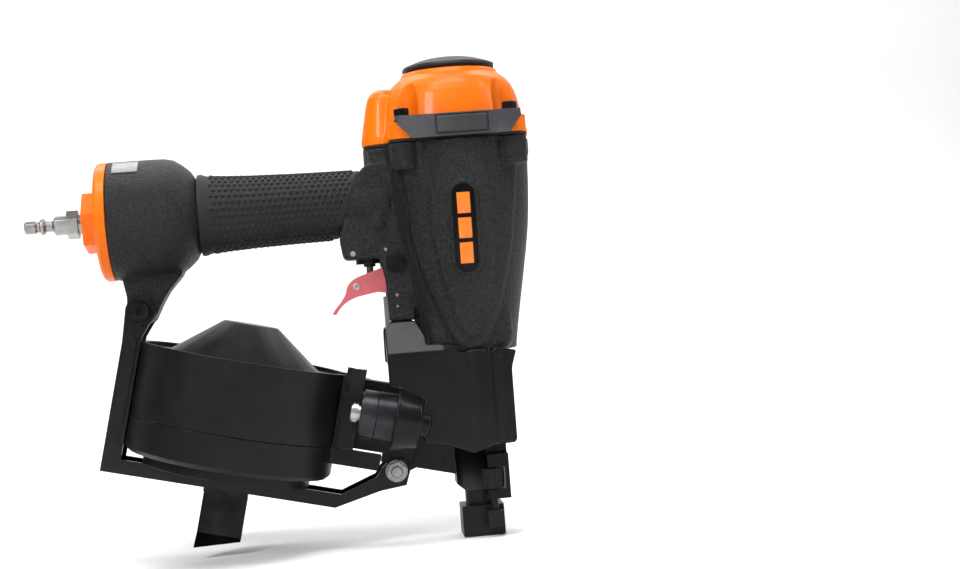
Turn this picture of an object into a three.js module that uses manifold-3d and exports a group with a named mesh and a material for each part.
// A coil roofing nailer driven by compressed air, standing on its nose. Sizes are in millimetres.
// +Z runs up the driver's axis, +X points away from the user, and the handle runs towards -X.
// Sizes below are measured from the driver's axis and the contact foot's lower face. The finished
// group is then moved along X, so that the origin lies under the middle of the whole tool.
import * as THREE from "three";
import { mergeVertices } from "three/addons/utils/BufferGeometryUtils.js";
import Module from "manifold-3d";

const wasm = await Module();
wasm.setup();

// ---------------------------------------------------------------- sizes
const gap = 0.3; // between pieces that touch
const slack = 0.5; // between pieces that move past each other

// Facets round a full circle
const large = 32;
const medium = 20;
const small = 12;

// Housing: the barrel stands on the driver's axis.
const housingBottom = 104;
const barrelHeight = 118;
const barrelTopR = 41;
const barrelFootR = 27.5;
const chamberR = 31; // air chamber round the cylinder
const housingTop = housingBottom + barrelHeight;

// Cylinder, piston and bumper
const boreR = 23.5;
const sleeveWall = 3;
const sleeveR = boreR + sleeveWall;
const bumperR = 22.6;
const bumperHeight = 15;
const housingFloor = 7;
const bumperBase = housingBottom + housingFloor + gap;
const sleeveBase = bumperBase + bumperHeight + 2;
const sleeveTop = housingTop - 8;
const bladeR = 3.4;
const pistonHeight = 12;
const driveStroke = 69;
const headValveLift = 5;

// Cap and what is bolted to it
const capHeight = 41;
const capR = 40.2;
const capFlange = 7;
const capTopR = 26;
const boltX = 30;
const boltY = 31;
const boltR = 2.5;
const boltHeadR = 4.2;
const boltHeadHeight = 5;
const bossR = 8;
const bossHeight = 16;
const seatHeight = 11; // height of the bolt seats above the parting plane
const guardFace = 45.5; // guard plate's outer face from the axis
const guardSheet = 2.2;
const lobeX = -38;
const lobeR = 14;
const deflectorR = 26.4;
const deflectorHeight = 7.8;

// Handle, with the air chamber's flared end
const handleZ = 191.7;
const handleEnd = -194;
const coreHalfHeight = 16.6;
const coreHalfWidth = 14.2;
const gripSheet = 3;
const flareR = 33.3;
const flareLength = 45;
const flareNeck = handleEnd + flareLength;
const airR = 28;
const throatHalf = 15;
const gripSlope = Math.tan(THREE.MathUtils.degToRad(21));
const gripFront = -62; // where the grip's slanted front edge crosses the handle's axis

// End cap and air plug
const endFlange = 6.4;
const endHexCorner = 17.4;
const endHexHeight = 9;
const plugHexFlats = 14;
const plugLength = 33;

// Trigger and its valve
const triggerX = -38.5;
const triggerZ = 156.5;
const triggerHalf = 8.4;
const triggerPinR = 2.5;
const slotHalf = 9.4;
const tongueX = -61.4;
const tongueZ = 145.3;
const tongueHalf = 3.4;
const tonguePinR = 1.5;
const valveX = -53;
const valveR = 7.6;
const valveHeight = 18;
const plungerR = 2;
const cheekBottom = 124;

// Nose, contact foot and contact arm
const driveBoreR = 5.6;
const noseHalf = 9.4;
const noseFront = 9;
const noseBack = -13.4;
const noseTip = 8.6;
const noseTipR = 8.8;
const noseShoulder = 25.6; // the contact foot rises to just below this height
const nosePlate = 3;
const footHeight = 17;
const footWall = 2.5;
const armSheet = 2.6;
const armTop = 138.4;
const adjusterX = 6.5;
const adjusterY = -16.6;
const adjusterRodR = 2;
const wheelR = 6.3;
const wheelBase = 27;
const wheelHeight = 11;
const contactSpringX = -2;
const coverHalf = 28.8;
const coverSheet = 2.2;

// Magazine, in a frame tilted to the pitch of the nail coil
const tilt = THREE.MathUtils.degToRad(14);
const drumX = -141;
const drumZ = 52;
const drumR = 58;
const drumWall = 2.2;
const baseHeight = 19.4;
const drumHeight = 60;
const coneR = drumR - 13.3;
const coneTopR = 15.2;
const coneHeight = 19;
const drumFoot = 6.1;
const coverReach = drumR + 3.5; // how far the cover's mouth stands from the drum's axis
const neckReach = 84;
const neckHalf = 15;
const neckBase = 10;
const trackHalf = 6; // half the width of the nail track
const trackWall = 3.6;
const trackFloor = 16.8;
const trackCeiling = 57;
const hingeX = -drumR - 2.6;
const hingeY = 16.8;
const hingeR = 1.8;
const knuckleR = 3.9;
const postR = 9;
const platformR = drumR - 8;
const platformRise = 5;

// Bracket that carries the magazine
const barBottom = -14.3;
const barHeight = 7.9;
const armBack = -67.8;
const armWidth = 10.2;
const bracketHalf = 12.4;
const bracketSheet = 2;
const pivotX = -60.8;
const pivotZ = 76;
const pivotR = 8.3;
const screwR = 3;
const noseBoltX = 94;
const noseBoltZ = 11.5;

// Feeder beside the track
const feederY = -27;
const feederZ = 41;
const feederR = 13.8;
const feederBoreR = 9.5;
const feederCapBack = 68;
const feederBack = 77;
const feederFront = 94;
const feederWall = 2.5;
const feedRodR = 4.4;
const feedKnobR = 5.6;
const feedKnobBack = 63;
const feedStroke = 7;

// Shingle guide
const guideX = 2;
const guideWidth = 25;
const guideSheet = 2.4;
const guideFoot = 7;

// ---------------------------------------------------------------- materials
function finish(color, roughness, metalness) {
  return new THREE.MeshStandardMaterial({ color, roughness, metalness });
}
const castBlack = finish(0x26272a, 0.75, 0.2);
const capOrange = finish(0xf47a12, 0.35, 0.1);
const endOrange = finish(0xf2701a, 0.4, 0.1);
const rubber = finish(0x1c1c1e, 0.9, 0);
const blackPlastic = finish(0x121214, 0.35, 0);
const magazineBlack = finish(0x151516, 0.55, 0);
const blackSteel = finish(0x1a1a1c, 0.45, 0.6);
const darkSteel = finish(0x3a3c44, 0.35, 0.9);
const brightSteel = finish(0xc9cbcf, 0.22, 1);
const springSteel = finish(0x9a9da3, 0.35, 1);
const triggerRed = finish(0xb9505a, 0.5, 0);
const aluminium = finish(0xa7aaae, 0.4, 0.9);
const polymer = finish(0x2c2d30, 0.6, 0);

// ---------------------------------------------------------------- helpers
const rad = THREE.MathUtils.degToRad;

// A three.js geometry as a solid that can be joined and cut.
function solid(geometry) {
  const bare = geometry.index ? geometry.toNonIndexed() : geometry.clone();
  bare.deleteAttribute("normal");
  bare.deleteAttribute("uv");
  const merged = mergeVertices(bare, 1e-4);
  const vertProperties = merged.attributes.position.array;
  const triVerts = new Uint32Array(merged.index.array);
  return new wasm.Manifold(new wasm.Mesh({ numProp: 3, vertProperties, triVerts }));
}

function geometryOf(body) {
  const mesh = body.getMesh();
  const geometry = new THREE.BufferGeometry();
  geometry.setAttribute("position", new THREE.BufferAttribute(mesh.vertProperties, 3));
  geometry.setIndex(new THREE.BufferAttribute(mesh.triVerts, 1));
  return geometry;
}

function join(...bodies) {
  return bodies.reduce((all, body) => all.add(body));
}

function cut(body, ...tools) {
  return tools.reduce((rest, tool) => rest.subtract(tool), body);
}

// A box between two corners.
function block(x0, x1, y0, y1, z0, z1) {
  const geometry = new THREE.BoxGeometry(x1 - x0, y1 - y0, z1 - z0);
  return solid(geometry.translate((x0 + x1) / 2, (y0 + y1) / 2, (z0 + z1) / 2));
}

// An upright round bar.
function post(x, y, r, z0, z1, sides = small, topR = r) {
  const geometry = new THREE.CylinderGeometry(topR, r, z1 - z0, sides).rotateX(Math.PI / 2);
  return solid(geometry.translate(x, y, (z0 + z1) / 2));
}

// A round bar across the tool.
function crossBar(x, z, r, y0, y1, sides = small) {
  const geometry = new THREE.CylinderGeometry(r, r, y1 - y0, sides);
  return solid(geometry.translate(x, (y0 + y1) / 2, z));
}

// A round bar along the handle.
function lengthBar(y, z, r, x0, x1, sides = medium) {
  const geometry = new THREE.CylinderGeometry(r, r, x1 - x0, sides).rotateZ(-Math.PI / 2);
  return solid(geometry.translate((x0 + x1) / 2, y, z));
}

// A hexagonal bar along the handle, turned about its axis.
function lengthHex(z, corner, x0, x1, turn = 0) {
  const geometry = new THREE.CylinderGeometry(corner, corner, x1 - x0, 6).rotateY(turn);
  return solid(geometry.rotateZ(-Math.PI / 2).translate((x0 + x1) / 2, 0, z));
}

// A turned shape about the upright axis, from [radius, height] pairs that run up the outside.
function turned(profile, sides = medium) {
  const points = profile.map(([r, z]) => new THREE.Vector2(r, z));
  return solid(new THREE.LatheGeometry(points, sides).rotateX(Math.PI / 2));
}

// A turned shape about the handle's axis, from [radius, x] pairs that run away from the user.
function turnedAlong(profile, sides = medium, widthShare = 1) {
  const points = profile.map(([r, x]) => new THREE.Vector2(r, x));
  const geometry = new THREE.LatheGeometry(points, sides).rotateZ(-Math.PI / 2);
  return solid(geometry).scale([1, widthShare, 1]).translate([0, 0, handleZ]);
}

function outline(points) {
  const shape = new THREE.Shape();
  shape.setFromPoints(points.map(([x, z]) => new THREE.Vector2(x, z)));
  return shape;
}

// A side-view outline of [x, z] pairs, as a plate between two planes across the tool.
function plate(points, y0, y1) {
  const shape = points instanceof THREE.Shape ? points : outline(points);
  const options = { depth: y1 - y0, bevelEnabled: false, curveSegments: 6 };
  const geometry = new THREE.ExtrudeGeometry(shape, options).rotateX(Math.PI / 2);
  return solid(geometry.translate(0, y1, 0));
}

// A plan-view outline of [x, y] pairs, as a slab between two heights.
function slab(points, z0, z1) {
  const options = { depth: z1 - z0, bevelEnabled: false, curveSegments: 6 };
  return solid(new THREE.ExtrudeGeometry(outline(points), options).translate(0, 0, z0));
}

// A coil spring about the upright axis.
class Helix extends THREE.Curve {
  constructor(r, height, turns) {
    super();
    Object.assign(this, { r, height, turns });
  }
  getPoint(t, target = new THREE.Vector3()) {
    const angle = t * this.turns * Math.PI * 2;
    return target.set(this.r * Math.cos(angle), this.r * Math.sin(angle), t * this.height);
  }
}

function coilSpring(r, wire, height, turns) {
  const section = new THREE.Shape();
  section.absarc(0, 0, wire, 0, Math.PI * 2);
  const path = new Helix(r, height - 2 * wire, turns);
  const options = { steps: Math.round(turns * 9), extrudePath: path, curveSegments: 2 };
  return solid(new THREE.ExtrudeGeometry(section, options)).translate([0, 0, wire]);
}

const nailer = new THREE.Group();
const magazine = new THREE.Group();
magazine.position.set(drumX, 0, drumZ);
magazine.rotation.y = tilt;
nailer.add(magazine);

const facetTolerance = 0.12; // facets flatter than this are merged

function add(name, body, material, group = nailer) {
  const tidy = body.asOriginal().simplify(facetTolerance);
  const mesh = new THREE.Mesh(geometryOf(tidy), material);
  mesh.name = name;
  group.add(mesh);
  return body;
}

// A body built in the magazine's frame, moved to the tool's frame so that it can cut a piece there.
function fromMagazine(body) {
  return body.rotate([0, THREE.MathUtils.radToDeg(tilt), 0]).translate([drumX, 0, drumZ]);
}

// A body built in the tool's frame, moved to the magazine's frame.
function fromTool(body) {
  return body.translate([-drumX, 0, -drumZ]).rotate([0, -THREE.MathUtils.radToDeg(tilt), 0]);
}

// ---------------------------------------------------------------- housing
const barrelProfile = [
  [barrelFootR, housingBottom],
  [barrelFootR + 4, housingBottom + barrelHeight * 0.24],
  [barrelTopR - 5, housingBottom + barrelHeight * 0.46],
  [barrelTopR - 2.2, housingBottom + barrelHeight * 0.61],
  [barrelTopR - 0.5, housingBottom + barrelHeight * 0.82],
  [barrelTopR, housingTop],
];

function barrel(grow) {
  const wall = barrelProfile.map(([r, z]) => [r + grow, z]);
  return turned([[0, housingBottom], ...wall, [0, housingTop]], large);
}

// The four corners at which the cap is bolted on.
const corners = [
  [-boltX, -boltY],
  [boltX, -boltY],
  [boltX, boltY],
  [-boltX, boltY],
];

function cornerPosts(r, z0, z1, sides = 24, topR = r) {
  return join(...corners.map(([x, y]) => post(x, y, r, z0, z1, sides, topR)));
}

const throat = plate(
  [
    [-boltX, handleZ + coreHalfHeight + 4.7],
    [lobeX - lobeR + 1, handleZ + coreHalfHeight + 4.7],
    [gripFront + gripSlope * (coreHalfHeight + 1.2) + gap, handleZ + coreHalfHeight + 1.2],
    [gripFront - gripSlope * (coreHalfHeight + gripSheet) + gap, handleZ - coreHalfHeight - gripSheet],
    [valveX - valveR - 7, triggerZ + 3.7],
    [triggerX - 9, triggerZ + 3.7],
    [triggerX - 6.5, triggerZ - 8.5],
    [triggerX - 6.1, cheekBottom],
    [triggerX + 8.5, cheekBottom],
    [triggerX + 8.5, triggerZ],
  ],
  -throatHalf,
  throatHalf,
);

const lugX = drumX + Math.cos(tilt) * pivotX + Math.sin(tilt) * pivotZ;
const lugZ = drumZ - Math.sin(tilt) * pivotX + Math.cos(tilt) * pivotZ;
const lugHalf = bracketHalf - bracketSheet - gap;
const lug = join(
  plate(
    [
      [lugX - pivotR + 0.6, lugZ],
      [lugX + pivotR, lugZ - 1],
      [lugX + 11, lugZ + 3],
      [lugX + 16, lugZ + 10],
      [lugX + 25, lugZ + 20],
      [lugX + 25, handleZ - 20],
      [lugX - 8.6, handleZ - 20],
    ],
    -lugHalf,
    lugHalf,
  ),
  crossBar(lugX, lugZ, pivotR - 0.5, -lugHalf, lugHalf, medium),
);

const flare = turnedAlong([
  [0, handleEnd],
  [flareR, handleEnd],
  [flareR - 0.4, handleEnd + flareLength * 0.68],
  [flareR - 3.4, handleEnd + flareLength * 0.86],
  [coreHalfHeight + 8, flareNeck],
  [coreHalfHeight, flareNeck + 3],
  [0, flareNeck + 3],
]);

const core = turnedAlong(
  [
    [0, flareNeck - 6],
    [coreHalfHeight, flareNeck - 6],
    [coreHalfHeight, lobeX],
    [0, lobeX],
  ],
  large,
  coreHalfWidth / coreHalfHeight,
);

const airPassage = turnedAlong(
  [
    [0, handleEnd - 1],
    [airR, handleEnd - 1],
    [airR, handleEnd + flareLength * 0.62],
    [coreHalfHeight - 4.4, flareNeck - 2],
    [coreHalfHeight - 4.4, -chamberR + 6],
    [0, -chamberR + 6],
  ],
  medium,
  0.9,
);

// A raised shield runs down each side of the barrel.
const shield = plate(
  [
    [-26, housingTop - 18],
    [-30, housingTop - 46],
    [-24, housingTop - 74],
    [-9, housingBottom + 6],
    [0, housingBottom + 1],
    [9, housingBottom + 6],
    [23, housingTop - 74],
    [27, housingTop - 46],
    [25, housingTop - 18],
  ],
  -barrelTopR - 9,
  barrelTopR + 9,
);

const barrelCavity = turned(
  [
    [0, bumperBase - gap],
    [bumperR + slack, bumperBase - gap],
    [bumperR + slack, sleeveBase - gap],
    [sleeveR + slack, sleeveBase - gap],
    [sleeveR + slack, triggerZ + 8],
    [chamberR, triggerZ + 14],
    [chamberR, housingTop + 1],
    [0, housingTop + 1],
  ],
  medium,
);

add(
  "housing",
  cut(
    join(
      barrel(0),
      barrel(1.3).intersect(shield),
      cornerPosts(bossR, housingTop - bossHeight, housingTop),
      cornerPosts(2, housingTop - bossHeight - 22, housingTop - bossHeight, 16, bossR - 1.2),
      post(lobeX, 0, lobeR, handleZ + 6, housingTop, medium),
      throat,
      core,
      flare,
      lug,
    ),
    barrelCavity,
    airPassage,
    post(0, 0, driveBoreR + 1.6, housingBottom - 1, bumperBase + 1),
    cornerPosts(boltR + 0.3, housingTop - bossHeight + 2, housingTop + 1, small),
    block(valveX - valveR - 20, triggerX + 8, -slotHalf, slotHalf, cheekBottom - 1, triggerZ + 3.5),
    block(triggerX - 11, triggerX + 7.2, -slotHalf, slotHalf, triggerZ, triggerZ + 6),
    post(valveX, 0, valveR + gap, triggerZ + 3, triggerZ + valveHeight + 4, medium),
    crossBar(triggerX, triggerZ, triggerPinR + gap, -throatHalf - 1, throatHalf + 1),
    crossBar(valveX - valveR - 1.5, triggerZ + 7, 1.5 + gap, -throatHalf - 1, throatHalf + 1, small),
    crossBar(lugX, lugZ, screwR + gap, -lugHalf - 1, lugHalf + 1),
  ),
  castBlack,
);

// ---------------------------------------------------------------- cylinder, bumper, piston and driver
add(
  "cylinder_sleeve",
  turned(
    [
      [boreR, sleeveBase],
      [sleeveR, sleeveBase],
      [sleeveR, sleeveTop],
      [boreR, sleeveTop],
      [boreR, sleeveBase],
    ],
    large,
  ),
  aluminium,
);

add(
  "bumper",
  turned(
    [
      [bladeR + 1.6, bumperBase],
      [bumperR, bumperBase],
      [bumperR, bumperBase + bumperHeight * 0.6],
      [bumperR - 5, bumperBase + bumperHeight],
      [bladeR + 1.6, bumperBase + bumperHeight],
      [bladeR + 1.6, bumperBase],
    ],
    medium,
  ),
  rubber,
);

const pistonTop = sleeveTop - 4;
const pistonBase = pistonTop - pistonHeight;
const ringGroove = pistonBase + pistonHeight * 0.4;
const ringHeight = 3.4;
add(
  "piston",
  turned(
    [
      [0, pistonBase + 3],
      [bladeR + 4, pistonBase],
      [boreR - slack, pistonBase],
      [boreR - slack, ringGroove],
      [boreR - 3, ringGroove],
      [boreR - 3, ringGroove + ringHeight],
      [boreR - slack, ringGroove + ringHeight],
      [boreR - slack, pistonTop],
      [0, pistonTop],
    ],
    large,
  ),
  aluminium,
);
add(
  "piston_ring",
  turned(
    [
      [boreR - 3 + gap, ringGroove + gap],
      [boreR - gap, ringGroove + gap],
      [boreR - gap, ringGroove + ringHeight - gap],
      [boreR - 3 + gap, ringGroove + ringHeight - gap],
      [boreR - 3 + gap, ringGroove + gap],
    ],
    large,
  ),
  rubber,
);
const bladeTip = noseTip + driveStroke;
const pistonHollow = pistonBase + 3; // the piston's lower face is dished to this height at the centre
add(
  "driver_blade",
  cut(
    post(0, 0, bladeR, bladeTip, pistonHollow - 3, small),
    block(-bladeR, -bladeR + 1, -bladeR, bladeR, bladeTip - 1, bladeTip + 70),
  ),
  brightSteel,
);

// ---------------------------------------------------------------- cap, head valve and deflector
const capTop = housingTop + capHeight;
const capBase = housingTop + 1 + 2 * gap;
const seat = housingTop + seatHeight;
const valveBoreR = chamberR - 1;
const valveBoreTop = capTop - 14;
const lobeTop = capTop - 10;

add(
  "cap_gasket",
  cut(
    join(
      post(0, 0, barrelTopR - 1.5, housingTop + gap, housingTop + gap + 1, large),
      cornerPosts(bossR - 1, housingTop + gap, housingTop + gap + 1),
    ),
    post(0, 0, chamberR + 1, housingTop, housingTop + 2, large),
    cornerPosts(boltR + 0.3, housingTop, housingTop + 2, small),
  ),
  rubber,
);

const capDome = turned(
  [
    [0, capBase],
    [capR + 2.4, capBase],
    [capR + 2.4, housingTop + capFlange - 1],
    [capR + 1, housingTop + capFlange],
    [capR - 2, housingTop + capHeight * 0.45],
    [capR - 4.6, housingTop + capHeight * 0.72],
    [capR - 8, housingTop + capHeight * 0.88],
    [capTopR + 1.5, capTop - 1],
    [capTopR, capTop],
    [0, capTop],
  ],
  large,
);
const capLobe = join(
  post(lobeX, 0, lobeR, capBase, housingTop + capHeight * 0.6, medium),
  post(lobeX, 0, lobeR, housingTop + capHeight * 0.6, lobeTop, 32, lobeR - 4),
);
const valveBore = turned(
  [
    [0, capBase - 1],
    [valveBoreR, capBase - 1],
    [valveBoreR, valveBoreTop],
    [0, valveBoreTop],
  ],
  medium,
);
const portRing = 17;
const ports = [0, 1, 2, 3].map((n) => {
  const angle = rad(45 + 90 * n);
  const x = portRing * Math.cos(angle);
  const y = portRing * Math.sin(angle);
  return post(x, y, 3.6, valveBoreTop - 1, capTop + 1, small);
});
add(
  "cylinder_cap",
  cut(
    join(capDome, capLobe, cornerPosts(bossR, capBase, seat)),
    valveBore,
    cornerPosts(bossR + 0.6, seat, capTop + 1),
    cornerPosts(boltR + 0.3, capBase - 1, seat + 1, small),
    post(0, 0, boltR + gap, valveBoreTop + 4, capTop + 1, small),
    ...ports,
  ),
  capOrange,
);

const headValveBase = sleeveTop + 2;
const headValveTop = valveBoreTop - headValveLift - 6;
add(
  "head_valve",
  turned(
    [
      [11, headValveBase],
      [valveBoreR - slack, headValveBase],
      [valveBoreR - slack, headValveTop],
      [valveBoreR - 4, headValveTop],
      [valveBoreR - 4, headValveBase + 5],
      [11, headValveBase + 5],
      [11, headValveBase],
    ],
    large,
  ),
  polymer,
);
const headSpringBase = headValveBase + 5 + gap;
add(
  "head_valve_spring",
  coilSpring(valveBoreR - 8, 1.1, valveBoreTop - gap - headSpringBase, 2.5).translate([0, 0, headSpringBase]),
  springSteel,
);

const deflectorBase = capTop + gap;
const deflectorTop = deflectorBase + deflectorHeight;
const deflectorSeat = deflectorTop - 5.2; // the screw's head is sunk just below the top
add(
  "exhaust_deflector",
  cut(
    turned(
      [
        [0, deflectorBase],
        [deflectorR - 1.2, deflectorBase],
        [deflectorR, deflectorBase + 1.6],
        [deflectorR - 0.8, deflectorBase + 3.4],
        [deflectorR - 7, deflectorTop - 1.8],
        [10, deflectorTop],
        [0, deflectorTop],
      ],
      large,
    ),
    cut(
      post(0, 0, deflectorR - 5, deflectorBase - 1, deflectorBase + 4.4, medium),
      post(0, 0, 6, deflectorBase - 2, deflectorBase + 6, small),
    ),
    block(0, deflectorR + 2, -9, 9, deflectorBase - 1, deflectorBase + 3),
    post(0, 0, boltR + slack, deflectorBase - 1, deflectorTop + 1, small),
    post(0, 0, boltHeadR + slack, deflectorSeat - gap, deflectorTop + 1, small),
  ),
  blackPlastic,
);

// A socket-head screw standing on z, with its shank below.
function socketScrew(x, y, z, shank) {
  const head = post(x, y, boltHeadR, z, z + boltHeadHeight, small);
  const hole = post(x, y, boltHeadR * 0.55, z + boltHeadHeight * 0.45, z + boltHeadHeight + 1, 6);
  return join(cut(head, hole), post(x, y, boltR, z - shank, z + 0.1, small));
}
add("deflector_screw", socketScrew(0, 0, deflectorSeat, deflectorHeight + 3), blackSteel);

// ---------------------------------------------------------------- side guards and cap bolts
// A guard is a pressed plate that stands off the cap, with a tab under each of its two bolts.
const guardTop = seat + gap + guardSheet;
function sideGuard(side) {
  const face = plate(
    [
      [-boltX - 3, guardTop],
      [-boltX - 3.6, guardTop - 4],
      [-boltX + 4, guardTop - 12.5],
      [boltX - 2, guardTop - 12.5],
      [boltX + 4.6, guardTop - 4],
      [boltX + 4, guardTop],
    ],
    -guardFace,
    -guardFace + guardSheet,
  );
  const tabs = [-boltX, boltX].map((x) =>
    block(x - 4.5, x + 4.5, -guardFace + 1, -boltY + 4.5, seat + gap, guardTop),
  );
  const recess = block(-12.6, 16.4, -guardFace - 1, -guardFace + 1.2, guardTop - 11.2, guardTop - 0.8);
  const holes = [-boltX, boltX].map((x) => post(x, -boltY, boltR + gap, seat, guardTop + 1, small));
  const near = cut(join(face, ...tabs), recess, ...holes);
  return side < 0 ? near : near.mirror([0, 1, 0]);
}
function guardPad(side) {
  const pad = block(-12, 15.8, -guardFace - 1.4, -guardFace + 1.2 - gap, guardTop - 10.6, guardTop - 1.4);
  return side < 0 ? pad : pad.mirror([0, 1, 0]);
}
for (const [side, word] of [
  [-1, "right"],
  [1, "left"],
]) {
  add("side_guard_" + word, sideGuard(side), darkSteel);
  add("guard_pad_" + word, guardPad(side), rubber);
}
corners.forEach(([x, y], n) => {
  add("cap_bolt_" + (n + 1), socketScrew(x, y, guardTop + gap, seatHeight + bossHeight - 4), blackSteel);
});

// ---------------------------------------------------------------- grip, end cap and air plug
const gripBack = flareNeck + 3 + gap;
const gripOuter = [
  [coreHalfHeight + gripSheet + 3.2, gripBack],
  [coreHalfHeight + gripSheet + 3.4, gripBack + 3],
  [coreHalfHeight + gripSheet + 1.6, gripBack + 9],
  [coreHalfHeight + gripSheet + 0.4, gripBack + 30],
  [coreHalfHeight + gripSheet - 0.4, gripFront - 14],
  [coreHalfHeight + gripSheet - 0.6, gripFront + 12],
];
const gripShare = (coreHalfWidth + gripSheet) / (coreHalfHeight + gripSheet);
const gripFrontCut = plate(
  [
    [gripFront + gripSlope * 40, handleZ + 40],
    [gripFront + 60, handleZ + 40],
    [gripFront + 60, handleZ - 40],
    [gripFront - gripSlope * 40, handleZ - 40],
  ],
  -40,
  large,
);
add(
  "grip_sleeve",
  cut(
    turnedAlong([[0, gripBack], ...gripOuter, [0, gripFront + 12]], 36, gripShare),
    turnedAlong(
      [
        [0, gripBack - 1],
        [coreHalfHeight + gap, gripBack - 1],
        [coreHalfHeight + gap, gripFront + 20],
        [0, gripFront + 20],
      ],
      large,
      (coreHalfWidth + gap) / (coreHalfHeight + gap),
    ),
    gripFrontCut,
  ),
  rubber,
);

const capInner = handleEnd - gap;
const capOuter = capInner - endFlange;
add(
  "end_cap",
  cut(
    join(
      turnedAlong(
        [
          [0, capOuter],
          [flareR - 1.6, capOuter],
          [flareR, capOuter + 1.6],
          [flareR, capInner],
          [airR * 0.9 - slack - 1, capInner],
          [airR * 0.9 - slack - 1, capInner + 9],
          [0, capInner + 9],
        ],
        large,
      ),
      lengthHex(handleZ, endHexCorner, capOuter - endHexHeight, capOuter + 1, rad(15)),
    ),
    lengthBar(0, handleZ, 5.6, capOuter - endHexHeight - 1, capInner + 10),
    turnedAlong(
      [
        [airR * 0.9 - slack - 3.4, capInner + 3],
        [airR, capInner + 3],
        [airR, capInner + 6],
        [airR * 0.9 - slack - 3.4, capInner + 6],
        [airR * 0.9 - slack - 3.4, capInner + 3],
      ],
      large,
    ),
  ),
  endOrange,
);
add(
  "end_cap_seal",
  turnedAlong(
    [
      [airR * 0.9 - slack - 3, capInner + 3 + gap],
      [airR * 0.9 - slack, capInner + 3 + gap],
      [airR * 0.9 - slack, capInner + 6 - gap],
      [airR * 0.9 - slack - 3, capInner + 6 - gap],
      [airR * 0.9 - slack - 3, capInner + 3 + gap],
    ],
    large,
  ),
  rubber,
);

const plugBase = capOuter - endHexHeight;
const plugEnd = plugBase - plugLength;
add(
  "air_plug",
  cut(
    join(
      turnedAlong(
        [
          [0, plugEnd],
          [3, plugEnd],
          [3.7, plugEnd + 0.8],
          [3.7, plugEnd + 6],
          [3, plugEnd + 7],
          [3, plugEnd + 8],
          [4.7, plugEnd + 9.2],
          [4.7, plugEnd + 10.6],
          [3, plugEnd + 12],
          [3, plugEnd + 15.4],
          [5.5, plugEnd + 17],
          [5.5, plugEnd + 25],
          [5.3, plugBase + 8],
          [0, plugBase + 8],
        ],
        small,
      ),
      lengthHex(handleZ, plugHexFlats / Math.sqrt(3), plugEnd + 23.4, plugEnd + 29.8, rad(10)),
    ),
    lengthBar(0, handleZ, 1.9, plugEnd - 1, plugBase + 9, small),
  ),
  brightSteel,
);

// ---------------------------------------------------------------- trigger and trigger valve
const triggerOutline = new THREE.Shape();
triggerOutline.moveTo(triggerX + 4.4, triggerZ - 3);
triggerOutline.absarc(triggerX, triggerZ, 4.6, rad(-40), rad(120));
triggerOutline.lineTo(triggerX - 8.4, triggerZ - 1.8);
triggerOutline.lineTo(triggerX - 22.5, triggerZ - 6.2);
triggerOutline.quadraticCurveTo(triggerX - 28.6, triggerZ - 9, triggerX - 29, triggerZ - 14);
triggerOutline.quadraticCurveTo(triggerX - 30, triggerZ - 17.5, triggerX - 36, triggerZ - 23.6);
triggerOutline.lineTo(triggerX - 37.6, triggerZ - 26);
triggerOutline.lineTo(triggerX - 35.4, triggerZ - 26.4);
triggerOutline.quadraticCurveTo(triggerX - 31, triggerZ - 19, triggerX - 22, triggerZ - 17);
triggerOutline.lineTo(triggerX - 11, triggerZ - 15.2);
triggerOutline.lineTo(triggerX - 6.7, triggerZ - 16);
triggerOutline.lineTo(triggerX - 5.2, triggerZ - 15.4);
add(
  "trigger",
  cut(
    plate(triggerOutline, -triggerHalf, triggerHalf),
    block(tongueX - 6, triggerX + 9, -tongueHalf - slack, tongueHalf + slack, tongueZ - 4.6, triggerZ + 8),
    block(triggerX - 12, triggerX + 9, -tongueHalf - 1.6, tongueHalf + 1.6, tongueZ - 12, triggerZ + 8),
    crossBar(triggerX, triggerZ, triggerPinR + gap, -triggerHalf - 1, triggerHalf + 1),
    crossBar(tongueX, tongueZ, tonguePinR + gap, -triggerHalf - 1, triggerHalf + 1, small),
  ),
  triggerRed,
);
add(
  "trigger_pin",
  join(
    crossBar(triggerX, triggerZ, triggerPinR, -throatHalf - 0.6, throatHalf + 1.4),
    crossBar(triggerX, triggerZ, triggerPinR + 2.2, -throatHalf - 2.4, -throatHalf - gap, small),
  ),
  blackSteel,
);
add(
  "tongue_pin",
  crossBar(tongueX, tongueZ, tonguePinR, -triggerHalf - 0.4, triggerHalf + 0.4, small),
  brightSteel,
);
const tongueLift = tongueZ + 4;
add(
  "trigger_tongue",
  cut(
    join(
      crossBar(tongueX, tongueZ, 3, -tongueHalf, tongueHalf, small),
      plate(
        [
          [tongueX - 1, tongueZ - 2.6],
          [tongueX + 8, tongueLift - 2.2],
          [triggerX - 4, tongueLift - 1.6],
          [triggerX - 4, tongueLift + 0.8],
          [valveX + 5, tongueLift + 1],
          [valveX - 4, tongueLift + 1],
          [tongueX - 1, tongueZ + 2.8],
        ],
        -tongueHalf,
        tongueHalf,
      ),
    ),
    crossBar(tongueX, tongueZ, tonguePinR + gap, -tongueHalf - 1, tongueHalf + 1, small),
  ),
  darkSteel,
);

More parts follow.
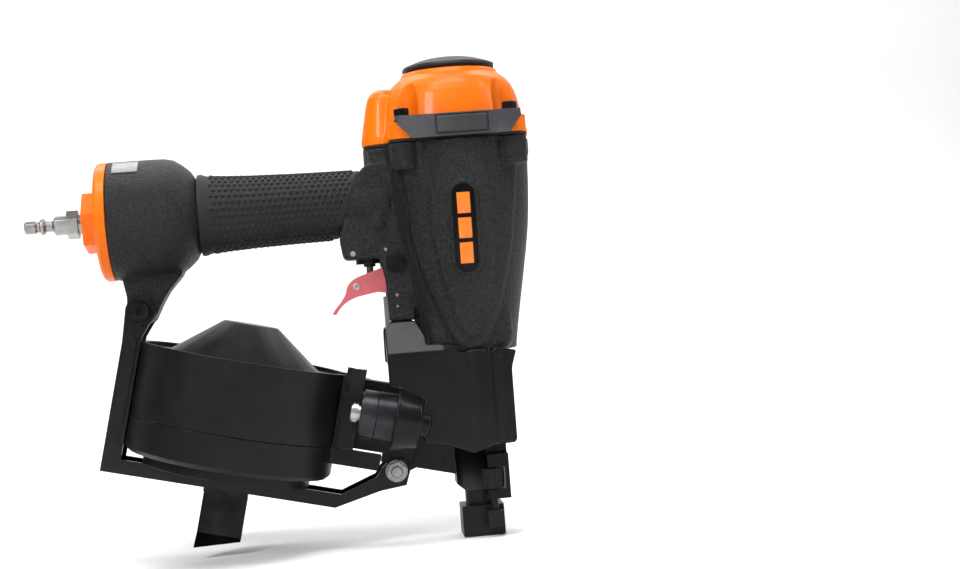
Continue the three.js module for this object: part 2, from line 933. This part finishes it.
const valveBase = triggerZ + 1;
add(
  "trigger_valve_body",
  cut(
    join(
      post(valveX, 0, valveR, valveBase, valveBase + valveHeight, medium),
      post(valveX, 0, tongueHalf, valveBase - 1.6, valveBase + 1, small),
    ),
    post(valveX, 0, plungerR + slack, valveBase - 3, valveBase + valveHeight + 1, small),
    post(valveX, 0, plungerR + 2.6, valveBase + 6, valveBase + valveHeight - 4, small),
    crossBar(valveX - valveR - 1.5, triggerZ + 7, 1.5 + gap, -throatHalf, throatHalf, small),
  ),
  polymer,
);
const plungerBase = tongueLift + 1 + slack;
add(
  "valve_plunger",
  join(
    post(valveX, 0, plungerR, plungerBase, valveBase + valveHeight - 1, small),
    post(valveX, 0, plungerR + 1.8, valveBase + 7, valveBase + 9, small),
  ),
  brightSteel,
);
const plungerSpringBase = valveBase + 9 + gap;
add(
  "plunger_spring",
  coilSpring(plungerR + 1.5, 0.45, valveBase + valveHeight - 4 - gap - plungerSpringBase, 3)
    .translate([valveX, 0, plungerSpringBase]),
  springSteel,
);
add(
  "valve_roll_pin",
  crossBar(valveX - valveR - 1.5, triggerZ + 7, 1.5, -throatHalf - 0.3, throatHalf + 0.3, small),
  brightSteel,
);

// ---------------------------------------------------------------- nose, nail guide and door
const latchZ = 50;
const plateTop = housingBottom - gap;
const plateBase = plateTop - nosePlate;
const plateHalf = barrelFootR - 3.5;
const noseBoltR = 2.2;
const noseBoltPlace = plateHalf - 5;
const trackTop = 77;
const trackBase = 37.5;
const noseScrews = [
  [-noseBoltPlace, -noseBoltPlace],
  [noseBoltPlace - 5, -noseBoltPlace],
  [noseBoltPlace - 5, noseBoltPlace],
  [-noseBoltPlace, noseBoltPlace],
];
add(
  "nose_body",
  cut(
    join(
      plate(
        [
          [noseBack, plateTop],
          [noseBack, noseShoulder + 4],
          [-noseTipR, noseShoulder],
          [noseFront, noseShoulder],
          [noseFront, plateTop],
        ],
        -noseHalf,
        noseHalf,
      ),
      post(0, 0, noseTipR, noseTip, noseShoulder + 1, medium),
      block(-plateHalf, plateHalf - 5.7, -plateHalf, plateHalf, plateBase, plateTop),
      block(-6, -2, noseHalf - 1, noseHalf + 3, latchZ - 5, latchZ + 5),
    ),
    post(0, 0, driveBoreR, noseTip - 1, plateTop + 1, small),
    block(noseBack - 1, 0, -driveBoreR, driveBoreR, trackBase, trackTop),
    ...noseScrews.map(([x, y]) => post(x, y, noseBoltR + gap, plateBase - 1, plateTop + 1, small)),
  ),
  blackSteel,
);
noseScrews.forEach(([x, y], n) => {
  const head = post(x, y, noseBoltR + 1.5, plateBase - gap - 3.4, plateBase - gap, small);
  const socket = post(x, y, noseBoltR * 0.8, plateBase - gap - 4, plateBase - gap - 1.8, 6);
  const shank = post(x, y, noseBoltR, plateBase - 1, plateTop - gap, small);
  add("nose_screw_" + (n + 1), cut(join(head, shank), socket), darkSteel);
});

// ---------------------------------------------------------------- contact foot, depth wheel and contact arm
const footOuter = noseTipR + slack + footWall;
add(
  "contact_foot",
  cut(
    join(
      block(-footOuter, footOuter, -footOuter, footOuter, 0, footHeight),
      block(adjusterX - 4.5, adjusterX + 4.5, adjusterY - 4, -footOuter + 1, 5, 14.5),
      post(adjusterX, adjusterY, adjusterRodR, 14, wheelBase + wheelHeight + 8, small),
    ),
    post(0, 0, noseTipR + slack, -1, footHeight + 1, medium),
  ),
  blackSteel,
);
const knurl = Array.from({ length: 12 }, (_, n) => {
  const angle = (n / 12) * Math.PI * 2;
  const x = adjusterX + (wheelR + 0.5) * Math.cos(angle);
  const y = adjusterY + (wheelR + 0.5) * Math.sin(angle);
  return post(x, y, 1, wheelBase - 1, wheelBase + wheelHeight + 1, 6);
});
add(
  "depth_wheel",
  cut(
    post(adjusterX, adjusterY, wheelR, wheelBase, wheelBase + wheelHeight, medium),
    post(adjusterX, adjusterY, adjusterRodR + gap, wheelBase - 1, wheelBase + wheelHeight + 1, small),
    ...knurl,
  ),
  darkSteel,
);

const armNear = -noseHalf - 0.6 - armSheet;
const armFar = armNear + armSheet;
const armBackX = -46.8;
const armRise = 92.5;
const springShelf = 66;
const armFoot = wheelBase - 6;
add(
  "contact_arm",
  cut(
    join(
      plate(
        [
          [15.6, 44],
          [15.6, 76],
          [6, 85],
          [-25, 91],
          [-33, 100],
          [armBackX, 100],
          [armBackX, armRise],
          [-36, armRise - 3],
          [-9, 78],
          [-9, 64],
          [3.6, 58],
          [3.6, 44],
        ],
        armNear,
        armFar,
      ),
      block(3.6, 15.6, adjusterY - 4, armFar, armFoot, wheelBase + wheelHeight + 8),
      block(-9, 15.6, adjusterY - 5.6, armNear + 1, springShelf, springShelf + 2.4),
      block(armBackX, armBackX + armSheet, armNear, 4, armRise, 100),
      block(armBackX, armBackX + armSheet, -4, 4, armRise, armTop),
    ),
    block(
      -1,
      wheelR + adjusterX + 0.4,
      adjusterY - 8,
      armFar + 1,
      wheelBase - 0.6,
      wheelBase + wheelHeight + 0.6,
    ),
    post(adjusterX, adjusterY, adjusterRodR + slack, armFoot - 1, wheelBase + wheelHeight + 9, small),
  ),
  blackSteel,
);
const contactSpringBase = springShelf + 2.4 + gap;
add(
  "contact_spring",
  coilSpring(4.2, 0.6, plateBase - gap - contactSpringBase, 7)
    .translate([contactSpringX, adjusterY - 0.8, contactSpringBase]),
  springSteel,
);

// ---------------------------------------------------------------- feeder, in the magazine's frame
// A bar along the feeder's axis, between two distances from the drum's axis.
function feederBar(r, x0, x1, sides = 32) {
  return lengthBar(feederY, feederZ, r, x0, x1, sides);
}
const mountBase = 30;
add(
  "feeder_cylinder",
  cut(
    join(
      feederBar(feederR, feederBack, feederFront, medium),
      block(feederBack + 3, feederFront, feederY, -trackHalf - trackWall - gap, mountBase, feederZ + 5),
    ),
    feederBar(feederBoreR, feederBack - 1, feederFront - feederWall),
    feederBar(3.5 + slack, feederFront - feederWall - 1, feederFront + 1, small),
  ),
  blackSteel,
  magazine,
);
const springSeat = feederCapBack + feederWall + 0.5;
add(
  "feeder_cap",
  cut(
    join(
      feederBar(feederR - 0.2, feederCapBack + 1, feederBack - gap, medium),
      feederBar(feederR - 1.6, feederCapBack, feederCapBack + 2, medium),
    ),
    feederBar(feederBoreR, springSeat, feederBack + 1),
    feederBar(feedRodR + slack, feederCapBack - 1, springSeat + 1, small),
  ),
  castBlack,
  magazine,
);
const feedHeadFront = feederFront - feederWall - 0.6;
const feedHeadBack = feedHeadFront - 5;
const pawlFront = feederFront + feedStroke + 4;
add(
  "feed_piston",
  join(
    feederBar(feederBoreR - gap, feedHeadBack, feedHeadFront),
    feederBar(feedRodR, feedKnobBack + 2, feedHeadBack + 1, small),
    feederBar(feedKnobR, feedKnobBack + 0.8, feedKnobBack + 3.6, small),
    feederBar(feedKnobR - 1.2, feedKnobBack, feedKnobBack + 1, small),
    feederBar(3.5, feedHeadFront - 1, pawlFront, small),
    block(pawlFront - 3, pawlFront, feederY - 3, -trackHalf + 1, feederZ - 4, feederZ + 4),
  ),
  brightSteel,
  magazine,
);
add(
  "feed_spring",
  coilSpring(7.2, 0.6, feedHeadBack - springSeat - 2 * gap, 3.5)
    .rotate([0, 90, 0])
    .translate([springSeat + gap, feederY, feederZ]),
  springSteel,
  magazine,
);

// ---------------------------------------------------------------- nose cover
const coverOutline = [
  [-46.4, 86],
  [-46.4, 122.4],
  [-32.3, 123.2],
  [-23.6, 111],
  [-9.7, 108.4],
  [7.6, 107.4],
  [24, 103.4],
  [20.9, 94],
  [20.9, 52.2],
  [9.5, 52.2],
  [-4.4, 48.3],
  [-19.3, 54.7],
  [-31, 56],
  [-31, 80],
];
// The same outline, drawn in by a margin.
function inset(points, margin) {
  const section = new wasm.CrossSection([[...points].reverse()]).offset(-margin, "Miter", 3, small);
  return section.toPolygons()[0];
}
const coverInside = plate(inset(coverOutline, coverSheet), -coverHalf + coverSheet, coverHalf - coverSheet);
const bulgeBack = 88;
const bulgeFront = pawlFront + slack;
const bulge = turned([
  [0, bulgeBack],
  [feederR + 4, bulgeBack],
  [feederR + 2.6, bulgeBack + 8],
  [feederR + 2.6, bulgeFront - 1],
  [feederR - 1, bulgeFront + coverSheet],
  [0, bulgeFront + coverSheet],
], medium);
const bulgeInside = turned([
  [0, bulgeBack - 2],
  [feederR + 1.6, bulgeBack - 2],
  [feederR + slack, bulgeBack + 8],
  [feederR + slack, bulgeFront - 1],
  [feederR - 3, bulgeFront],
  [0, bulgeFront],
], medium);
function alongFeeder(body) {
  return fromMagazine(body.rotate([0, 90, 0]).translate([0, feederY, feederZ]));
}
add(
  "nose_cover",
  cut(
    join(
      plate(coverOutline, -coverHalf, coverHalf),
      cut(alongFeeder(bulge), block(-60, 30, -coverHalf + 1, 40, 30, 120)),
    ),
    coverInside,
    alongFeeder(bulgeInside),
    fromMagazine(feederBar(feederR + slack, 40, bulgeBack + 1, medium)),
    // open behind, above and below
    block(-60, -35, -coverHalf + coverSheet, coverHalf + 1, 40, 100),
    block(-60, -20, -coverHalf + coverSheet, coverHalf - coverSheet, 40, 130),
    block(-40, 20.9 - coverSheet, -coverHalf + coverSheet, coverHalf - coverSheet, 40, 60),
    block(-40, 20.9 - coverSheet, -coverHalf + coverSheet, coverHalf - coverSheet, 90, 130),
    // the far side leaves the guide door free to swing
    block(-60, 4, 0, coverHalf + 1, 40, 97),
    barrel(1.3 + gap),
    block(triggerX - 10, triggerX + 9, -throatHalf - 3, throatHalf + 3, cheekBottom - 3, 130),
  ),
  blackPlastic,
);

// ---------------------------------------------------------------- magazine
const inside = drumR - drumWall;
const cupTop = baseHeight;
const coverBase = baseHeight + gap;
const coverTop = drumHeight;
const deckDrop = 2.6; // the deck lies below the rim
const deckTop = coverTop - deckDrop;

function knuckle(w0, w1) {
  return join(
    post(hingeX, hingeY, knuckleR, w0, w1, small),
    slab(
      [
        [hingeX + 1, hingeY - knuckleR + 0.6],
        [hingeX + 7, hingeY - knuckleR - 1],
        [hingeX + 8.6, hingeY + 4],
        [hingeX + 1, hingeY + knuckleR - 0.4],
      ],
      w0,
      w1,
    ),
  );
}
const hingeBore = post(hingeX, hingeY, hingeR + gap, -20, 80, small);

add(
  "magazine_cup",
  cut(
    join(
      cut(
        join(
          turned([
            [0, 0],
            [drumR - 2.4, 0],
            [drumR, 2.4],
            [drumR, cupTop],
            [0, cupTop],
          ], large),
          block(0, neckReach, -neckHalf, trackHalf - gap, neckBase, cupTop),
          block(0, coverReach + 4, -neckHalf, neckHalf, neckBase, cupTop),
        ),
        post(0, 0, inside, drumWall, cupTop + 1, large),
        block(0, neckReach + 1, -neckHalf + drumWall, trackHalf + 1, neckBase + drumWall, cupTop + 1),
        block(0, coverReach + 5, -neckHalf + drumWall, neckHalf - drumWall, neckBase + drumWall, cupTop + 1),
      ),
      post(0, 0, drumR - 11, -drumFoot, 1, large),
      post(0, 0, postR, 1, cupTop - 0.8, medium),
      cut(knuckle(3, 14), post(0, 0, inside + 1, 0, 20, large)),
    ),
    post(0, 0, drumR - 14, -drumFoot - 1, -1.4, large),
    post(0, 0, postR - 3, -drumFoot, cupTop - 4, small),
    hingeBore,
  ),
  magazineBlack,
  magazine,
);

const coneTop = coverTop + coneHeight;
const mouth = block(0, coverReach, -neckHalf, neckHalf, coverBase, coverTop);
add(
  "magazine_cover",
  cut(
    join(
      cut(
        join(post(0, 0, drumR, coverBase, coverTop, large), mouth),
        post(0, 0, inside, coverBase - 1, deckTop - drumWall, large),
        post(0, 0, inside, deckTop, coverTop + 1, large),
        block(
          0,
          coverReach + 1,
          -neckHalf + drumWall,
          neckHalf - drumWall,
          coverBase - 1,
          deckTop - drumWall,
        ),
        block(0, coverReach + 1, -neckHalf + drumWall, neckHalf - drumWall, deckTop, coverTop + 1),
      ),
      post(0, 0, coneR, deckTop - 1, coneTop, 48, coneTopR),
      block(coverReach - 4, coverReach, -neckHalf - 1.6, -neckHalf + 3, coverTop - 4, coverTop + 4.6),
      cut(knuckle(28, 50), post(0, 0, inside + 1, 20, 60, large)),
    ),
    post(0, 0, coneR - drumWall * 1.3, deckTop - drumWall - 1, coneTop - drumWall, 48, coneTopR - 1.4),
    hingeBore,
  ),
  magazineBlack,
  magazine,
);
add(
  "hinge_pin",
  join(
    post(hingeX, hingeY, hingeR, 1.5, 52, small),
    post(hingeX, hingeY, hingeR + 1.2, 50 + gap, 52, small),
  ),
  brightSteel,
  magazine,
);
add(
  "nail_platform",
  cut(
    join(
      post(0, 0, platformR, platformRise, platformRise + 2, large),
      post(0, 0, postR + 4, drumWall + gap, platformRise + 2, medium),
    ),
    post(0, 0, postR + slack, 0, platformRise + 3, medium),
  ),
  polymer,
  magazine,
);

// ---------------------------------------------------------------- nail guide, with the frame bolt
const bracketInside = bracketHalf - bracketSheet;
const guideEnd = 130;
const guideStart = coverReach + 5;
const trackOuter = trackHalf + trackWall;
const guardOuter = neckHalf + slack + 1.9;
const doorFace = trackHalf + 2.4;
const doorPinX = guideStart + 4.3;
const doorPinY = doorFace + 2.8;
const doorPinR = 1.4;
const earBase = trackFloor + 7;
const earTop = trackCeiling - 3;
const noseSpace = fromTool(block(noseBack - gap, 60, -40, 40, 0, 140));
add(
  "nail_guide",
  cut(
    join(
      block(guideStart, guideEnd, -trackOuter, -trackHalf, coverBase + 0.2, trackCeiling + 2),
      block(neckReach + 0.6, guideEnd, -trackOuter, -trackHalf, trackFloor - 2, coverBase + 1),
      block(neckReach + 0.6, guideEnd, -trackOuter, trackHalf - gap, trackFloor - 2, trackFloor),
      block(guideStart, guideEnd, -trackOuter, trackHalf - gap, trackCeiling, trackCeiling + 2),
      block(103, 104.4, -trackOuter - 1, -trackOuter + 1, trackFloor - 1, 27),
      // a guard laps over the cover's mouth, and a catch stands beside the tab on its rim
      block(guideStart, guideStart + 1.2, -guardOuter, -trackHalf - 1, cupTop + gap, coverTop - 8.5),
      block(
        coverReach - 3.5,
        guideStart + 1.2,
        -guardOuter,
        -neckHalf - slack,
        cupTop + gap,
        coverTop - 8.5,
      ),
      block(guideStart, guideStart + 1.7, -neckHalf - 1.6, -trackHalf - 1, coverTop - 3.5, coverTop + 4.6),
      block(
        coverReach + 1.5,
        guideStart + 1.7,
        -neckHalf - 1.6,
        -neckHalf + 2,
        coverTop - 3.5,
        coverTop + 4.6,
      ),
      block(120, 121.4, -trackOuter - 1, -trackOuter + 1, trackFloor - 1, 24),
      plate(
        [
          [noseBoltX - 6, trackFloor - 1],
          [noseBoltX - 6, noseBoltZ],
          [noseBoltX - 4.4, noseBoltZ - 4.4],
          [noseBoltX, noseBoltZ - 6],
          [noseBoltX + 4.4, noseBoltZ - 4.4],
          [noseBoltX + 6, noseBoltZ],
          [noseBoltX + 12, trackFloor - 1],
        ],
        -bracketInside + gap,
        bracketInside - gap,
      ),
      // a post and two ears carry the door's hinge pin
      block(guideStart, guideStart + 5, 0, doorPinY + 2.6, trackCeiling, trackCeiling + 2),
      block(guideStart, guideStart + 1.2, doorFace + gap, doorPinY + 2.6, earBase, trackCeiling + 2),
      ...[earBase, earTop].map((w) =>
        cut(
          join(
            block(guideStart, doorPinX, doorPinY - 2.4, doorPinY + 2.4, w, w + 3),
            post(doorPinX, doorPinY, 2.4, w, w + 3),
          ),
          post(doorPinX, doorPinY, doorPinR + gap, w - 1, w + 4, small),
        ),
      ),
    ),
    crossBar(noseBoltX, noseBoltZ, screwR + gap, -20, 20),
    block(feederFront - 2, pawlFront + 3, -trackOuter - 2, -trackHalf + 1, feederZ - 5, feederZ + 5),
    noseSpace,
  ),
  blackSteel,
  magazine,
);
const bolt = { x: noseBoltX, z: noseBoltZ };
// A hexagonal bar across the tool, measured across its flats.
function crossHex(x, z, flats, y0, y1) {
  return crossBar(x, z, flats / Math.sqrt(3), y0, y1, 6);
}
add(
  "frame_bolt",
  join(
    crossBar(bolt.x, bolt.z, screwR, -bracketHalf - 7, bracketHalf + 1, small),
    crossHex(bolt.x, bolt.z, 10, bracketHalf + gap, bracketHalf + 4.3),
  ),
  brightSteel,
  magazine,
);
add(
  "frame_nut",
  cut(
    join(
      crossHex(bolt.x, bolt.z, 10, -bracketHalf - 5.6, -bracketHalf - 0.8),
      crossBar(bolt.x, bolt.z, 6.2, -bracketHalf - 1.5, -bracketHalf - gap, medium),
    ),
    crossBar(bolt.x, bolt.z, screwR + gap, -bracketHalf - 7, -bracketHalf, small),
  ),
  brightSteel,
  magazine,
);

// ---------------------------------------------------------------- guide door and its latch
const latchPivotX = 112;
const latchPivotY = doorFace + 4;
const latchBase = 28.5;
const latchTop = 34;
const latchPinR = 1.4;
const catchFront = 136.6;
const doorBase = noseBoltZ + 7.5; // clears the bracket and the bolt
add(
  "guide_door",
  cut(
    join(
      block(doorPinX + 0.4, guideEnd, trackHalf, doorFace, doorBase, trackCeiling - gap),
      post(doorPinX, doorPinY, 2.5, earBase + 3 + gap, earTop - gap, small),
      block(doorPinX, doorPinX + 4, trackHalf + 0.4, doorPinY, earBase + 3 + gap, earTop - gap),
      ...[latchBase - gap - 3.4, latchTop + gap].map((w) =>
        cut(
          block(latchPivotX - 3, latchPivotX + 3, doorFace - 1, latchPivotY + 2.6, w, w + 3.4),
          post(latchPivotX, latchPivotY, latchPinR + gap, w - 1, w + 4.4, small),
        ),
      ),
    ),
    post(doorPinX, doorPinY, doorPinR + gap, earBase, earTop + 3, small),
    noseSpace,
  ),
  blackSteel,
  magazine,
);
add(
  "door_pin",
  post(doorPinX, doorPinY, doorPinR, earBase - 0.6, earTop + 2.7, small),
  brightSteel,
  magazine,
);
add(
  "door_latch",
  join(
    post(latchPivotX, latchPivotY, 3, latchBase, latchTop, small),
    post(latchPivotX, latchPivotY, latchPinR, latchBase - 3.4, latchTop + 3.4, small),
    block(latchPivotX, catchFront + 2, latchPivotY + 0.6, latchPivotY + 2.6, latchBase, latchTop),
    block(catchFront, catchFront + 2, noseHalf + 0.5, latchPivotY + 2, latchBase, latchTop),
    slab(
      [
        [latchPivotX + 6, latchPivotY + 2],
        [latchPivotX + 14, latchPivotY + 2],
        [latchPivotX + 16, latchPivotY + 7],
        [latchPivotX + 14, latchPivotY + 7.6],
      ],
      latchBase,
      latchTop,
    ),
  ),
  darkSteel,
  magazine,
);

// ---------------------------------------------------------------- bracket under and behind the magazine
const barTop = barBottom + barHeight;
const armFront = armBack + armWidth;
const earStep = rad(18);
const earArc = Array.from({ length: 11 }, (_, n) => [
  pivotX + pivotR * Math.cos(n * earStep),
  pivotZ + pivotR * Math.sin(n * earStep),
]);
const bracketSide = [
  [armBack, barBottom],
  [63.5, barBottom],
  [87.3, -0.9],
  [100.9, 4.5],
  [101.7, 14.3],
  [98, 18.2],
  [91, 18.2],
  [85.6, 12],
  [83.4, 6],
  [66, barTop],
  [armFront, barTop],
  [armFront, 62],
  ...earArc,
  [armBack, 58],
];
const bracketHollow = [
  [armBack + bracketSheet, barBottom + bracketSheet],
  [62.9, barBottom + bracketSheet],
  [86.6, 1.3],
  [112, 11.4],
  [112, 30],
  [armFront + 8, 30],
  [armFront + 8, 100],
  [armBack - 12, 100],
  [armBack - 12, 60],
  [armBack + bracketSheet, 58],
];
add(
  "frame_bracket",
  cut(
    plate(bracketSide, -bracketHalf, bracketHalf),
    plate(bracketHollow, -bracketInside, bracketInside),
    crossBar(pivotX, pivotZ, screwR + gap, -20, 20),
    crossBar(noseBoltX, noseBoltZ, screwR + gap, -20, 20),
    block(guideX - 17, guideX + 19, -screwR - gap, screwR + gap, barBottom - 1, barBottom + bracketSheet + 1),
  ),
  blackSteel,
  magazine,
);
add(
  "bracket_screw",
  cut(
    join(
      crossBar(pivotX, pivotZ, screwR, -bracketHalf - 1, bracketHalf + 0.4, small),
      crossBar(pivotX, pivotZ, 5.4, -bracketHalf - 3.4, -bracketHalf - gap, medium),
    ),
    crossBar(pivotX, pivotZ, 2.3, -bracketHalf - 4, -bracketHalf - 1.2, 6),
  ),
  darkSteel,
  magazine,
);

// ---------------------------------------------------------------- shingle guide
const guideFlange = barBottom - gap;
const legNear = -1.2;
const legFar = legNear + guideSheet;
const guideLeft = guideX - guideWidth / 2;
const guideSide = [
  [-9, guideFlange],
  [9, guideFlange],
  [9, guideFlange - guideSheet],
  [legFar, guideFlange - guideSheet],
  [legFar, -42],
  [legFar - 12, -56],
  [legFar - 15.4, -56],
  [legNear, -41],
  [legNear, guideFlange - guideSheet],
  [-9, guideFlange - guideSheet],
];
const guideBody = slab(guideSide, 0, guideWidth)
  .rotate([90, 0, 90])
  .translate([guideLeft, 0, 0]);
add(
  "shingle_guide",
  cut(
    guideBody,
    post(guideX, 0, screwR + gap, guideFlange - guideSheet - 1, guideFlange + 1, small),
    fromTool(block(-260, 60, -60, 60, -60, guideFoot)),
  ),
  blackSteel,
  magazine,
);
add(
  "guide_screw",
  join(
    post(guideX, 0, screwR, guideFlange - guideSheet - 0.6, barBottom + bracketSheet + 1, small),
    post(guideX, 0, 5.2, barBottom + bracketSheet + gap, barTop - 1.4, 6),
  ),
  darkSteel,
  magazine,
);

// The tool's length is centred on the origin of the finished group.
nailer.position.x = 100.05;
export default nailer;
